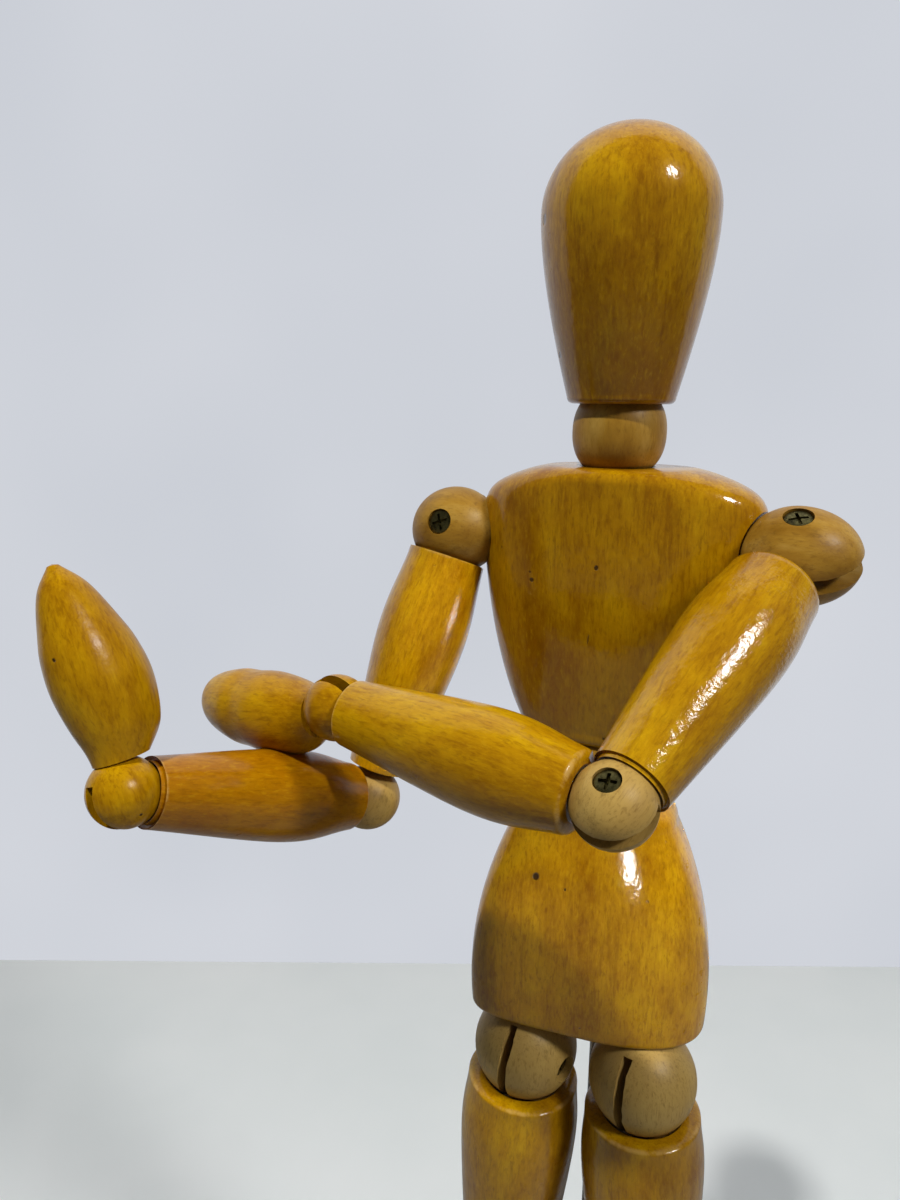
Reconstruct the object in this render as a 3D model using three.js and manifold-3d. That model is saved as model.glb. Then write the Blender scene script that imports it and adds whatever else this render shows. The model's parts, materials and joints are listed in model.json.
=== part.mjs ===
// Jointed wooden artist's figure on a round stand, in millimetres, +Z up.
// The origin is the centre of the base's underside, and the hips and feet face -Y.
// Each limb joint is a wooden ball that swivels on a peg in the piece before it. A slot in the
// ball takes a flat steel link of the next piece, which hinges there on a cross screw.
import * as THREE from "three";
import { mergeVertices } from "three/addons/utils/BufferGeometryUtils.js";
import Module from "manifold-3d";

const wasm = await Module();
wasm.setup();

// Stand
const BASE_RADIUS = 50;
const BASE_HEIGHT = 15;
const BASE_ROUNDING = 4;
const ROD_RADIUS = 1.6;
const ROD_IN_BASE = 11;
const ROD_IN_PELVIS = 24;
const ROD_BEHIND_WAIST = 10.5;
const SOLE_ABOVE_BASE = 12;

// Head and neck
const HEAD_HEIGHT = 47;
const HEAD_RADIUS = 15.6;
const HEAD_RIM_RADIUS = 9.9;
const HEAD_CROWN = 14.6;
const HEAD_EDGE = 1.2;
const NECK_BALL_RADIUS = 8.6;
const NECK_BELOW_HEAD = 5.1;
const NECK_ABOVE_CHEST = 6.2;

// Chest: its half width at the shoulders, at the waist and across the flat top
const CHEST_HEIGHT = 53.6;
const CHEST_HALF = 25;
const CHEST_WAIST_HALF = 17;
const CHEST_TOP_HALF = 15.5;
const CHEST_SHOULDER_DROP = 12;
const CHEST_EDGE = 2.3;
const CHEST_DEPTH_RATIO = 0.47;
const CHEST_SQUARENESS = 2.15;
const SHOULDER_SPREAD = 32.8;
const SHOULDER_FORWARD = 3;
const SHOULDER_BELOW_NECK = 20.1;

// Waist and pelvis: half widths at the top and near the bottom
const WAIST_BALL_RADIUS = 9;
const WAIST_GAP = 13.3;
const BLOCK_EDGE = 3.6;
const PELVIS_HEIGHT = 48.5;
const PELVIS_TOP_HALF = 16.5;
const PELVIS_HALF = 24.9;
const PELVIS_DEPTH_RATIO = 0.575;
const PELVIS_SET_BACK = 1.2;
const PELVIS_BULGE = 1.045;
const PELVIS_EDGE = 2.4;
const PELVIS_SQUARENESS = 2.8;
const HIP_SPREAD = 12.7;
const HIP_BELOW_PELVIS = 10.2;
const HIP_FORWARD = 5;
const HIP_SPLAY = 3;

// Arms: lengths run from joint centre to joint centre, a rim is its distance from the nearer one
// and a belly is the fraction of the length where the limb is thickest
const SHOULDER_BALL_RADIUS = 8.7;
const SHOULDER_BALL_REACH = 9.4;
const SHOULDER_SLOT_RISE = 5.2;
const UPPER_ARM_LENGTH = 57.2;
const UPPER_ARM_RADIUS = 8.7;
const UPPER_ARM_BELLY = 0.42;
const UPPER_ARM_TOP_RADIUS = 7.4;
const UPPER_ARM_TOP_RIM = 7.3;
const UPPER_ARM_END_RADIUS = 6.2;
const UPPER_ARM_END_RIM = 5;
const ELBOW_BALL_RADIUS = 6.5;
const FOREARM_LENGTH = 53.2;
const FOREARM_RADIUS = 8;
const FOREARM_BELLY = 0.4;
const FOREARM_TOP_RADIUS = 6.1;
const FOREARM_TOP_RIM = 5.7;
const FOREARM_END_RADIUS = 5;
const FOREARM_END_RIM = 5.2;
const WRIST_BALL_RADIUS = 5.9;
const HAND_LENGTH = 37.8;
const HAND_RADIUS = 7.8;
const HAND_NECK_RADIUS = 4.9;
const HAND_NECK_AT = 5.5;
const HAND_FLATNESS = 0.92;
const HAND_BEND = -1.3;

// Legs, measured as the arms
const HIP_BALL_RADIUS = 11.1;
const HIP_SLOT_RISE = 8.8;
const THIGH_LENGTH = 80;
const THIGH_RADIUS = 12.7;
const THIGH_BELLY = 0.32;
const THIGH_TOP_RADIUS = 12;
const THIGH_TOP_RIM = 7.4;
const THIGH_END_RADIUS = 8.5;
const THIGH_END_RIM = 6.2;
const KNEE_BALL_RADIUS = 8.8;
const SHIN_LENGTH = 76;
const SHIN_RADIUS = 10;
const SHIN_BELLY = 0.34;
const SHIN_TOP_RADIUS = 8.2;
const SHIN_TOP_RIM = 6.6;
const SHIN_END_RADIUS = 5.7;
const SHIN_END_RIM = 5.6;
const ANKLE_BALL_RADIUS = 6.6;
const ANKLE_HEIGHT = 15;
const FOOT_LENGTH = 40;
const FOOT_HEEL = 10;
const FOOT_RADIUS = 8.6;
const FOOT_AXIS_DROP = 8.5;

// Fits between pieces
const SEAT_GAP = 0.4;
const SLOT_GAP = 0.25;
const BORE_GAP = 0.15;
const POCKET_GAP = 0.25;

// Joint hardware: flat links, cross screws and the balls' wooden pegs, as radii and lengths
const ARM_JOINT = { link: 1.6, eye: 2.6, strip: 1.6, shaft: 1.1, head: 2.2, peg: 2.4, depth: 7 };
const LEG_JOINT = { link: 2, eye: 3.4, strip: 2.2, shaft: 1.4, head: 2.5, peg: 3.2, depth: 9 };
const TRUNK_JOINT = { link: 2.4, eye: 3, strip: 1.8, shaft: 1.2, head: 1.2, peg: 3, depth: 8 };
const TRUNK_SLOT_SHARE = 0.7;
const HEAD_THICKNESS = 1.8;
const CROSS_SPAN = 1.3;
const CROSS_WIDTH = 0.6;
const CROSS_DEPTH = 0.7;
const SHALLOW_RECESS = 0.5;
const DEEP_RECESS = 2.6;
const LINK_INSERT = 8;
const LIMB_EDGE = 0.8;

// Pose in the photograph, in degrees
const WAIST_TURN = -4;
const POSE = {
  left: {
    shoulder: { swivel: -33.7, hinge: -108.1 },
    elbow: { swivel: -2.7, hinge: -81.6 },
    wrist: { swivel: -109.5, hinge: -13.5 },
    hip: { swivel: -16, hinge: 0 },
  },
  right: {
    shoulder: { swivel: 71.4, hinge: -80.1 },
    elbow: { swivel: -107.9, hinge: -88.8 },
    wrist: { swivel: -23.3, hinge: -66.4 },
    hip: { swivel: -10, hinge: 0 },
  },
};

// Facets
const ROUND = 14;
const BALL_RINGS = 10;
const BLOCK_ROUND = 20;
const SCREW_ROUND = 8;

const VARNISHED = { color: 0xc9861f, roughness: 0.25, metalness: 0 };
const RAW_WOOD = { color: 0xc79f5c, roughness: 0.7, metalness: 0 };
const STEEL = { color: 0x8f9296, roughness: 0.4, metalness: 1 };
const BRASS = { color: 0x9a8a52, roughness: 0.45, metalness: 1 };

// Heights that follow from the sizes above
const splay = THREE.MathUtils.degToRad(HIP_SPLAY);
const legDrop = (THIGH_LENGTH + SHIN_LENGTH) * Math.cos(splay);
const hipHeight = BASE_HEIGHT + SOLE_ABOVE_BASE + ANKLE_HEIGHT + legDrop;
const pelvisBottom = hipHeight + HIP_BELOW_PELVIS;
const waistHeight = pelvisBottom + PELVIS_HEIGHT + WAIST_GAP / 2;
const neckAboveWaist = WAIST_GAP / 2 + CHEST_HEIGHT + NECK_ABOVE_CHEST;

const point = (x, y) => new THREE.Vector2(x, y);

function arc(x, y, radius, start, end, steps) {
  const curve = new THREE.EllipseCurve(x, y, radius, radius, start, end, end < start);
  return curve.getPoints(steps);
}

function smooth(points, steps) {
  return new THREE.SplineCurve(points).getPoints(steps);
}

// Closed solid of a geometry, with its faces pointing out
function solidOf(geometry) {
  const plain = geometry.clone();
  plain.deleteAttribute("normal");
  plain.deleteAttribute("uv");
  const merged = mergeVertices(plain, 1e-4);
  const corners = merged.index.array;
  const kept = [];
  for (let i = 0; i < corners.length; i += 3) {
    const [a, b, c] = [corners[i], corners[i + 1], corners[i + 2]];
    if (a !== b && b !== c && c !== a) kept.push([a, b, c]);
  }
  const build = (triangles) =>
    new wasm.Manifold(
      new wasm.Mesh({
        numProp: 3,
        vertProperties: new Float32Array(merged.attributes.position.array),
        triVerts: new Uint32Array(triangles.flat()),
      }),
    );
  const solid = build(kept);
  return solid.volume() > 0 ? solid : build(kept.map(([a, b, c]) => [a, c, b]));
}

// Solid turned about Z from a profile of (radius, height) points
function turned(profile, sides = ROUND) {
  return solidOf(new THREE.LatheGeometry(profile, sides).rotateX(Math.PI / 2));
}

function box(width, depth, height, x = 0, y = 0, z = 0) {
  return solidOf(new THREE.BoxGeometry(width, depth, height).translate(x, y, z));
}

// Rod along Z between two heights
function rod(radius, bottom, top, sides = ROUND) {
  return turned([point(0, bottom), point(radius, bottom), point(radius, top), point(0, top)], sides);
}

function ellipsoid(radius, halfHeight) {
  const sphere = new THREE.SphereGeometry(1, ROUND, BALL_RINGS).rotateX(Math.PI / 2);
  return solidOf(sphere.scale(radius, radius, halfHeight));
}

function geometryOf(solid) {
  const mesh = solid.getMesh();
  const geometry = new THREE.BufferGeometry();
  geometry.setAttribute("position", new THREE.BufferAttribute(mesh.vertProperties, 3));
  geometry.setIndex(new THREE.BufferAttribute(mesh.triVerts, 1));
  geometry.computeVertexNormals();
  return geometry;
}

// The solid moved by a rotation about one axis and then a shift
function placed(solid, axis, degrees, shift = [0, 0, 0]) {
  const geometry = geometryOf(solid);
  const turn = { x: "rotateX", y: "rotateY", z: "rotateZ" }[axis];
  return solidOf(geometry[turn](THREE.MathUtils.degToRad(degrees)).translate(...shift));
}

function addPiece(group, name, solid, look) {
  const mesh = new THREE.Mesh(geometryOf(solid), new THREE.MeshStandardMaterial(look));
  mesh.name = name;
  group.add(mesh);
}

// Nested group that turns about one of its own axes
function pivot(parent, name, axis, degrees, shift = [0, 0, 0]) {
  const group = new THREE.Group();
  group.name = name;
  group.position.set(...shift);
  group.rotation[axis] = THREE.MathUtils.degToRad(degrees);
  parent.add(group);
  return group;
}

// Block with rounded-square sections, from a turned half-width profile
function block(profile, depthRatio, squareness) {
  const geometry = new THREE.LatheGeometry(profile, BLOCK_ROUND).rotateX(Math.PI / 2);
  const places = geometry.attributes.position;
  const power = 2 / squareness;
  for (let i = 0; i < places.count; i += 1) {
    const x = places.getX(i);
    const y = places.getY(i);
    const radius = Math.hypot(x, y) || 1;
    const across = Math.sign(x) * Math.abs(x / radius) ** power;
    const along = Math.sign(y) * Math.abs(y / radius) ** power;
    places.setXY(i, radius * across, radius * depthRatio * along);
  }
  return solidOf(geometry);
}

// Ball with its peg up and its slot open downwards, and the cross screw's hole along X
function jointBall(joint, { radius, reach, headSide, recess, slotHalf, slotRise, frontRise = 0 }) {
  const pegMeet = reach * Math.sqrt(1 - (joint.peg / radius) ** 2);
  const meetAngle = Math.asin(pegMeet / reach);
  const skin = new THREE.EllipseCurve(0, 0, radius, reach, -Math.PI / 2, meetAngle, false);
  const pegTop = reach + joint.depth;
  const profile = [...skin.getPoints(6), point(joint.peg, pegTop), point(0, pegTop)];
  const slotWidth = joint.link + 2 * SLOT_GAP;
  const slotTop = slotRise + SLOT_GAP;
  const slot = box(slotWidth, 2 * slotHalf, slotTop + 2 * reach, 0, 0, slotTop / 2 - reach);
  const ball = turned(profile).subtract(slot).subtract(screwHole(joint, radius, headSide, recess));
  if (frontRise === 0) return ball;
  return ball.subtract(box(slotWidth, 2 * radius, 2 * frontRise, 0, -radius - joint.peg, 0));
}

// Where a cross screw's head stops, measured from the ball's centre
function headTop(joint, radius, recess) {
  return Math.sqrt(radius ** 2 - joint.head ** 2) - recess;
}

function screwHole(joint, radius, headSide, recess) {
  const top = headTop(joint, radius, recess);
  const shaft = rod(joint.shaft + BORE_GAP, -top, 2 * radius, SCREW_ROUND);
  const wide = rod(joint.head + SEAT_GAP, top - HEAD_THICKNESS - SEAT_GAP, 2 * radius, SCREW_ROUND);
  return placed(shaft.add(wide), "y", 90 * headSide);
}

// Countersunk cross-head screw along X
function crossScrew(joint, radius, headSide, recess) {
  const top = headTop(joint, radius, recess);
  const profile = [
    point(0, SEAT_GAP - top),
    point(joint.shaft, SEAT_GAP - top),
    point(joint.shaft, top - HEAD_THICKNESS),
    point(joint.head, top - HEAD_THICKNESS / 3),
    point(joint.head, top),
    point(0, top),
  ];
  const arm = CROSS_SPAN * joint.head;
  const cross = box(arm, CROSS_WIDTH, 2 * CROSS_DEPTH, 0, 0, top).add(
    box(CROSS_WIDTH, arm, 2 * CROSS_DEPTH, 0, 0, top),
  );
  return placed(turned(profile, SCREW_ROUND).subtract(cross), "y", 90 * headSide);
}

// Plain pin along X, just short of the ball's skin
function crossPin(joint, radius) {
  const half = headTop(joint, radius, SHALLOW_RECESS);
  return placed(rod(joint.shaft, -half, half, SCREW_ROUND), "y", 90);
}

function pinHole(joint, radius) {
  return placed(rod(joint.shaft + BORE_GAP, -2 * radius, 2 * radius, SCREW_ROUND), "y", 90);
}

// Flat link in the YZ plane: an eye round the screw and a strip down to its end
function flatLink(joint, reach) {
  const meet = Math.asin(joint.strip / joint.eye);
  const outline = new THREE.Shape();
  outline.moveTo(-joint.strip, -reach);
  outline.lineTo(joint.strip, -reach);
  outline.absarc(0, 0, joint.eye, meet - Math.PI / 2, 1.5 * Math.PI - meet, false);
  const hole = new THREE.Path();
  hole.absarc(0, 0, joint.shaft + BORE_GAP, 0, 2 * Math.PI, false);
  outline.holes.push(hole);
  const plate = { depth: joint.link, bevelEnabled: false, curveSegments: 4 };
  const geometry = new THREE.ExtrudeGeometry(outline, plate).translate(0, 0, -joint.link / 2);
  const upright = new THREE.Matrix4().makeBasis(
    new THREE.Vector3(0, 1, 0),
    new THREE.Vector3(0, 0, 1),
    new THREE.Vector3(1, 0, 0),
  );
  return solidOf(geometry.applyMatrix4(upright));
}

// Link whose strip ends, just outside the ball, in a round stem that swivels in the piece it enters
function stemLink(joint, radius) {
  const stemStart = Math.sqrt(radius ** 2 - (joint.link / 2) ** 2);
  const stemEnd = radius + SEAT_GAP + joint.depth;
  return flatLink(joint, radius).add(rod(joint.strip, -stemEnd, -stemStart, SCREW_ROUND));
}

// Turned limb along -Z from the joint centre at its top, dished at both ends to clear the balls
function limb(length, top, bottom, belly, bellyAt) {
  const dishAngle = (end) => Math.asin(end.rim / end.dish);
  const boreMeet = Math.acos(bottom.bore / bottom.dish);
  const boreTop = bottom.dish + bottom.depth + SEAT_GAP - length;
  return turned([
    ...arc(0, 0, top.dish, -Math.PI / 2, -dishAngle(top), 4),
    point(top.radius - LIMB_EDGE, -top.rim),
    ...smooth(
      [
        point(top.radius, -top.rim - LIMB_EDGE),
        point(belly, -bellyAt * length),
        point(bottom.radius, bottom.rim + LIMB_EDGE - length),
      ],
      7,
    ),
    point(bottom.radius - LIMB_EDGE, bottom.rim - length),
    ...arc(0, -length, bottom.dish, dishAngle(bottom), boreMeet, 2),
    point(bottom.bore, boreTop),
    point(0, boreTop),
  ]);
}

// Square pocket in a limb's top end for its link's strip
function linkPocket(joint, dish) {
  const depth = LINK_INSERT + SEAT_GAP;
  const width = joint.link + 2 * POCKET_GAP;
  return box(width, 2 * (joint.strip + POCKET_GAP), 2 * depth, 0, 0, -dish);
}

// Stand: round base with the upright rod in its middle
function buildStand(root) {
  const seat = BASE_HEIGHT - ROD_IN_BASE;
  const top = pelvisBottom + ROD_IN_PELVIS;
  const base = turned(
    [
      point(0, 0),
      point(BASE_RADIUS, 0),
      ...arc(BASE_RADIUS - BASE_ROUNDING, BASE_HEIGHT - BASE_ROUNDING, BASE_ROUNDING, 0, Math.PI / 2, 3),
      point(ROD_RADIUS + BORE_GAP, BASE_HEIGHT),
      point(ROD_RADIUS + BORE_GAP, seat),
      point(0, seat),
    ],
    2 * ROUND,
  );
  addPiece(root, "base", base, VARNISHED);
  addPiece(root, "rod", rod(ROD_RADIUS, seat + SEAT_GAP, top), STEEL);
}

// Trunk joint: a link that swivels in the piece below hinges in a ball, on which the piece above turns
function trunkJoint(parent, name, radius, turn, shift) {
  const swivel = pivot(parent, name + "_turn", "z", turn, shift);
  addPiece(swivel, name + "_link", stemLink(TRUNK_JOINT, radius), STEEL);
  const hinge = pivot(swivel, name + "_bow", "x", 0);
  const shape = {
    radius,
    reach: radius,
    headSide: 1,
    recess: SHALLOW_RECESS,
    slotHalf: TRUNK_SLOT_SHARE * radius,
    slotRise: TRUNK_JOINT.eye,
  };
  const ball = jointBall(TRUNK_JOINT, shape);
  addPiece(hinge, name + "_ball", ball, RAW_WOOD);
  addPiece(hinge, name + "_pin", crossPin(TRUNK_JOINT, radius), STEEL);
  return pivot(hinge, name + "_twist", "z", 0);
}

// Round seat for a trunk ball, with the hole for its link's stem or its peg
function trunkSeat(radius, hole, upwards) {
  const depth = radius + TRUNK_JOINT.depth + 2 * SEAT_GAP;
  const bore = upwards ? rod(hole + BORE_GAP, 0, depth) : rod(hole + BORE_GAP, -depth, 0);
  return ellipsoid(radius + SEAT_GAP, radius + SEAT_GAP).add(bore);
}

function pelvisSolid() {
  const top = -WAIST_GAP / 2;
  const bottom = top - PELVIS_HEIGHT;
  const shoulder = arc(PELVIS_TOP_HALF - BLOCK_EDGE, top - BLOCK_EDGE, BLOCK_EDGE, Math.PI / 2, 0, 3);
  const flank = new THREE.QuadraticBezierCurve(
    point(PELVIS_TOP_HALF, top - BLOCK_EDGE),
    point(PELVIS_BULGE * PELVIS_HALF, top - PELVIS_HEIGHT / 2),
    point(PELVIS_HALF, bottom + PELVIS_EDGE),
  );
  const hem = arc(PELVIS_HALF - PELVIS_EDGE, bottom + PELVIS_EDGE, PELVIS_EDGE, 0, -Math.PI / 2, 2);
  const profile = [
    point(0, top),
    ...shoulder,
    ...flank.getPoints(6).slice(1),
    ...hem.slice(1),
    point(0, bottom),
  ];
  const blank = block(profile, PELVIS_DEPTH_RATIO, PELVIS_SQUARENESS);
  let solid = placed(blank, "z", 0, [0, PELVIS_SET_BACK, 0]);
  solid = solid.subtract(trunkSeat(WAIST_BALL_RADIUS, TRUNK_JOINT.strip, false));
  const hipSeat = ellipsoid(HIP_BALL_RADIUS + SEAT_GAP, HIP_BALL_RADIUS + SEAT_GAP);
  const hipBore = rod(LEG_JOINT.peg + BORE_GAP, 0, HIP_BALL_RADIUS + LEG_JOINT.depth + SEAT_GAP);
  for (const side of [1, -1]) {
    const place = [side * HIP_SPREAD, -HIP_FORWARD, bottom - HIP_BELOW_PELVIS];
    solid = solid.subtract(placed(hipSeat.add(hipBore), "y", -side * HIP_SPLAY, place));
  }
  const rodHole = rod(ROD_RADIUS + BORE_GAP, bottom - 1, bottom + ROD_IN_PELVIS + SEAT_GAP);
  return solid.subtract(placed(rodHole, "z", 0, [0, ROD_BEHIND_WAIST, 0]));
}

// Chest about the waist ball's centre
function chestSolid() {
  const bottom = WAIST_GAP / 2;
  const top = bottom + CHEST_HEIGHT;
  const widest = top - CHEST_SHOULDER_DROP;
  const shoulder = new THREE.CubicBezierCurve(
    point(CHEST_TOP_HALF, top),
    point(0.85 * CHEST_HALF, top),
    point(CHEST_HALF, top - CHEST_SHOULDER_DROP / 3),
    point(CHEST_HALF, widest),
  );
  const flank = new THREE.CubicBezierCurve(
    point(CHEST_HALF, widest),
    point(CHEST_HALF, widest - CHEST_HEIGHT / 3),
    point(1.2 * CHEST_WAIST_HALF, bottom + CHEST_HEIGHT / 6),
    point(CHEST_WAIST_HALF, bottom + CHEST_EDGE),
  );
  const profile = [
    point(0, bottom),
    point(CHEST_WAIST_HALF - CHEST_EDGE, bottom),
    ...flank.getPoints(6).reverse(),
    ...shoulder.getPoints(4).reverse().slice(1),
    point(0, top),
  ];
  let solid = block(profile, CHEST_DEPTH_RATIO, CHEST_SQUARENESS);
  solid = solid.subtract(trunkSeat(WAIST_BALL_RADIUS, TRUNK_JOINT.peg, true));
  const neckSeat = trunkSeat(NECK_BALL_RADIUS, TRUNK_JOINT.strip, false);
  solid = solid.subtract(placed(neckSeat, "z", 0, [0, 0, neckAboveWaist]));
  const seat = ellipsoid(SHOULDER_BALL_RADIUS + SEAT_GAP, SHOULDER_BALL_REACH + SEAT_GAP);
  const bore = rod(ARM_JOINT.peg + BORE_GAP, 0, SHOULDER_BALL_REACH + ARM_JOINT.depth + SEAT_GAP);
  for (const side of [1, -1]) {
    const place = [side * SHOULDER_SPREAD, -SHOULDER_FORWARD, neckAboveWaist - SHOULDER_BELOW_NECK];
    solid = solid.subtract(placed(seat.add(bore), "y", -90 * side, place));
  }
  return solid;
}

// Egg-shaped head above the neck ball's centre, dished below for the ball and its peg
function headSolid() {
  const bottom = NECK_BELOW_HEAD;
  const widest = bottom + HEAD_HEIGHT - HEAD_CROWN;
  const dish = NECK_BALL_RADIUS + SEAT_GAP;
  const bore = TRUNK_JOINT.peg + BORE_GAP;
  const boreTop = NECK_BALL_RADIUS + TRUNK_JOINT.depth + SEAT_GAP;
  const cheek = new THREE.CubicBezierCurve(
    point(HEAD_RIM_RADIUS, bottom + HEAD_EDGE),
    point(1.22 * HEAD_RIM_RADIUS, bottom + HEAD_HEIGHT / 5),
    point(HEAD_RADIUS, widest - HEAD_HEIGHT / 5),
    point(HEAD_RADIUS, widest),
  );
  const crown = new THREE.EllipseCurve(0, widest, HEAD_RADIUS, HEAD_CROWN, 0, Math.PI / 2, false);
  return turned(
    [
      point(0, boreTop),
      point(bore, boreTop),
      ...arc(0, 0, dish, Math.acos(bore / dish), Math.asin(bottom / dish), 2),
      point(HEAD_RIM_RADIUS - HEAD_EDGE, bottom),
      ...cheek.getPoints(5),
      ...crown.getPoints(5).slice(1),
    ],
    BLOCK_ROUND,
  );
}

// Hand with its own slotted wrist ball, pointing along -Z
function handSolid() {
  const palm = smooth(
    [
      point(0, -HAND_LENGTH),
      point(0.5 * HAND_RADIUS, -0.89 * HAND_LENGTH),
      point(0.94 * HAND_RADIUS, -0.63 * HAND_LENGTH),
      point(HAND_RADIUS, -0.47 * HAND_LENGTH),
      point(HAND_NECK_RADIUS, -HAND_NECK_AT),
    ],
    10,
  );
  const leaf = new THREE.LatheGeometry([...palm, point(0, -HAND_NECK_AT)], ROUND).rotateX(Math.PI / 2);
  // The leaf bows a little to one side between the wrist and its tip
  const places = leaf.attributes.position;
  for (let i = 0; i < places.count; i += 1) {
    const along = THREE.MathUtils.clamp(-places.getZ(i) / HAND_LENGTH, 0, 1);
    places.setY(i, places.getY(i) + HAND_BEND * Math.sin(Math.PI * along));
  }
  const slotFloor = ARM_JOINT.eye + SLOT_GAP;
  const slotHeight = 2 * WRIST_BALL_RADIUS;
  const slot = box(
    ARM_JOINT.link + 2 * SLOT_GAP,
    4 * WRIST_BALL_RADIUS,
    slotHeight,
    0,
    0,
    slotHeight / 2 - slotFloor,
  );
  return solidOf(leaf.scale(HAND_FLATNESS, 1, 1))
    .add(ellipsoid(WRIST_BALL_RADIUS, WRIST_BALL_RADIUS))
    .subtract(slot)
    .subtract(pinHole(ARM_JOINT, WRIST_BALL_RADIUS));
}

// Foot with its own slotted ankle ball, toes towards -Y and flat below
function footSolid() {
  const sole = smooth(
    [
      point(0, FOOT_HEEL),
      point(0.8 * FOOT_RADIUS, 0.6 * FOOT_HEEL),
      point(FOOT_RADIUS, FOOT_HEEL - 0.5 * FOOT_LENGTH),
      point(0.72 * FOOT_RADIUS, FOOT_HEEL - 0.85 * FOOT_LENGTH),
      point(0, FOOT_HEEL - FOOT_LENGTH),
    ],
    11,
  );
  const body = solidOf(new THREE.LatheGeometry(sole, ROUND).translate(0, 0, -FOOT_AXIS_DROP));
  const below = box(4 * FOOT_RADIUS, 4 * FOOT_LENGTH, 2 * FOOT_RADIUS, 0, 0, -ANKLE_HEIGHT - FOOT_RADIUS);
  const slotFloor = LEG_JOINT.eye + SLOT_GAP;
  const slotHeight = 2 * ANKLE_BALL_RADIUS;
  const slot = box(
    LEG_JOINT.link + 2 * SLOT_GAP,
    4 * ANKLE_BALL_RADIUS,
    slotHeight,
    0,
    0,
    slotHeight / 2 - slotFloor,
  );
  return body
    .add(ellipsoid(ANKLE_BALL_RADIUS, ANKLE_BALL_RADIUS))
    .subtract(below)
    .subtract(slot)
    .subtract(pinHole(LEG_JOINT, ANKLE_BALL_RADIUS));
}

// Ball joint of a limb: the swivelling ball with its screw, then the hinging link. Returns both groups.
function ballJoint(parent, names, joint, size, pose, shift) {
  const swivel = pivot(parent, names.swivel, "z", pose.swivel, shift);
  addPiece(swivel, names.ball, jointBall(joint, size), RAW_WOOD);
  addPiece(swivel, names.screw, crossScrew(joint, size.radius, size.headSide, size.recess), BRASS);
  const hinge = pivot(swivel, names.hinge, "x", pose.hinge);
  addPiece(hinge, names.link, flatLink(joint, size.swing + LINK_INSERT), STEEL);
  return hinge;
}

// End joint of a limb: a link that swivels in the limb, then the hand or foot hinging on its pin
function endJoint(parent, names, joint, radius, pose, shift) {
  const swivel = pivot(parent, names.swivel, "z", pose.swivel, shift);
  addPiece(swivel, names.link, placed(stemLink(joint, radius), "x", 180), STEEL);
  const hinge = pivot(swivel, names.hinge, "x", pose.hinge);
  addPiece(hinge, names.pin, crossPin(joint, radius), STEEL);
  return hinge;
}

function jointNames(side, place, piece) {
  return {
    swivel: `${place}_swivel_${side}`,
    hinge: `${place}_hinge_${side}`,
    ball: `${place}_ball_${side}`,
    screw: `${place}_screw_${side}`,
    pin: `${place}_pin_${side}`,
    link: `${piece}_link_${side}`,
  };
}

function buildArm(chest, side) {
  const sign = side === "left" ? 1 : -1;
  const pose = POSE[side];
  const shoulderHeight = neckAboveWaist - SHOULDER_BELOW_NECK;
  const socketPlace = [sign * SHOULDER_SPREAD, -SHOULDER_FORWARD, shoulderHeight];
  const socket = pivot(chest, "", "y", -90 * sign, socketPlace);
  const shoulder = {
    radius: SHOULDER_BALL_RADIUS,
    reach: SHOULDER_BALL_REACH,
    swing: SHOULDER_BALL_REACH + SEAT_GAP,
    headSide: sign,
    recess: SHALLOW_RECESS,
    slotHalf: 2 * SHOULDER_BALL_RADIUS,
    slotRise: SHOULDER_SLOT_RISE,
  };
  const elbow = {
    radius: ELBOW_BALL_RADIUS,
    reach: ELBOW_BALL_RADIUS,
    swing: ELBOW_BALL_RADIUS + SEAT_GAP,
    headSide: sign,
    recess: SHALLOW_RECESS,
    slotHalf: 2 * ELBOW_BALL_RADIUS,
    slotRise: ARM_JOINT.eye,
  };
  const shoulderNames = jointNames(side, "shoulder", "upper_arm");
  const upper = ballJoint(socket, shoulderNames, ARM_JOINT, shoulder, pose.shoulder);
  const elbowBore = ARM_JOINT.peg + BORE_GAP;
  const upperTop = { dish: shoulder.swing, radius: UPPER_ARM_TOP_RADIUS, rim: UPPER_ARM_TOP_RIM };
  const upperEnd = {
    dish: elbow.swing,
    radius: UPPER_ARM_END_RADIUS,
    rim: UPPER_ARM_END_RIM,
    bore: elbowBore,
    depth: ARM_JOINT.depth,
  };
  const upperArm = limb(UPPER_ARM_LENGTH, upperTop, upperEnd, UPPER_ARM_RADIUS, UPPER_ARM_BELLY);
  const upperPocket = linkPocket(ARM_JOINT, shoulder.swing);
  addPiece(upper, `upper_arm_${side}`, upperArm.subtract(upperPocket), VARNISHED);

  const elbowNames = jointNames(side, "elbow", "forearm");
  const lower = ballJoint(upper, elbowNames, ARM_JOINT, elbow, pose.elbow, [0, 0, -UPPER_ARM_LENGTH]);
  const forearmTop = { dish: elbow.swing, radius: FOREARM_TOP_RADIUS, rim: FOREARM_TOP_RIM };
  const forearmEnd = {
    dish: WRIST_BALL_RADIUS + SEAT_GAP,
    radius: FOREARM_END_RADIUS,
    rim: FOREARM_END_RIM,
    bore: ARM_JOINT.strip + BORE_GAP,
    depth: ARM_JOINT.depth,
  };
  const forearm = limb(FOREARM_LENGTH, forearmTop, forearmEnd, FOREARM_RADIUS, FOREARM_BELLY);
  addPiece(lower, `forearm_${side}`, forearm.subtract(linkPocket(ARM_JOINT, elbow.swing)), VARNISHED);

  const wristNames = jointNames(side, "wrist", "wrist");
  const wristShift = [0, 0, -FOREARM_LENGTH];
  const hand = endJoint(lower, wristNames, ARM_JOINT, WRIST_BALL_RADIUS, pose.wrist, wristShift);
  addPiece(hand, `hand_${side}`, handSolid(), VARNISHED);
}

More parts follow.
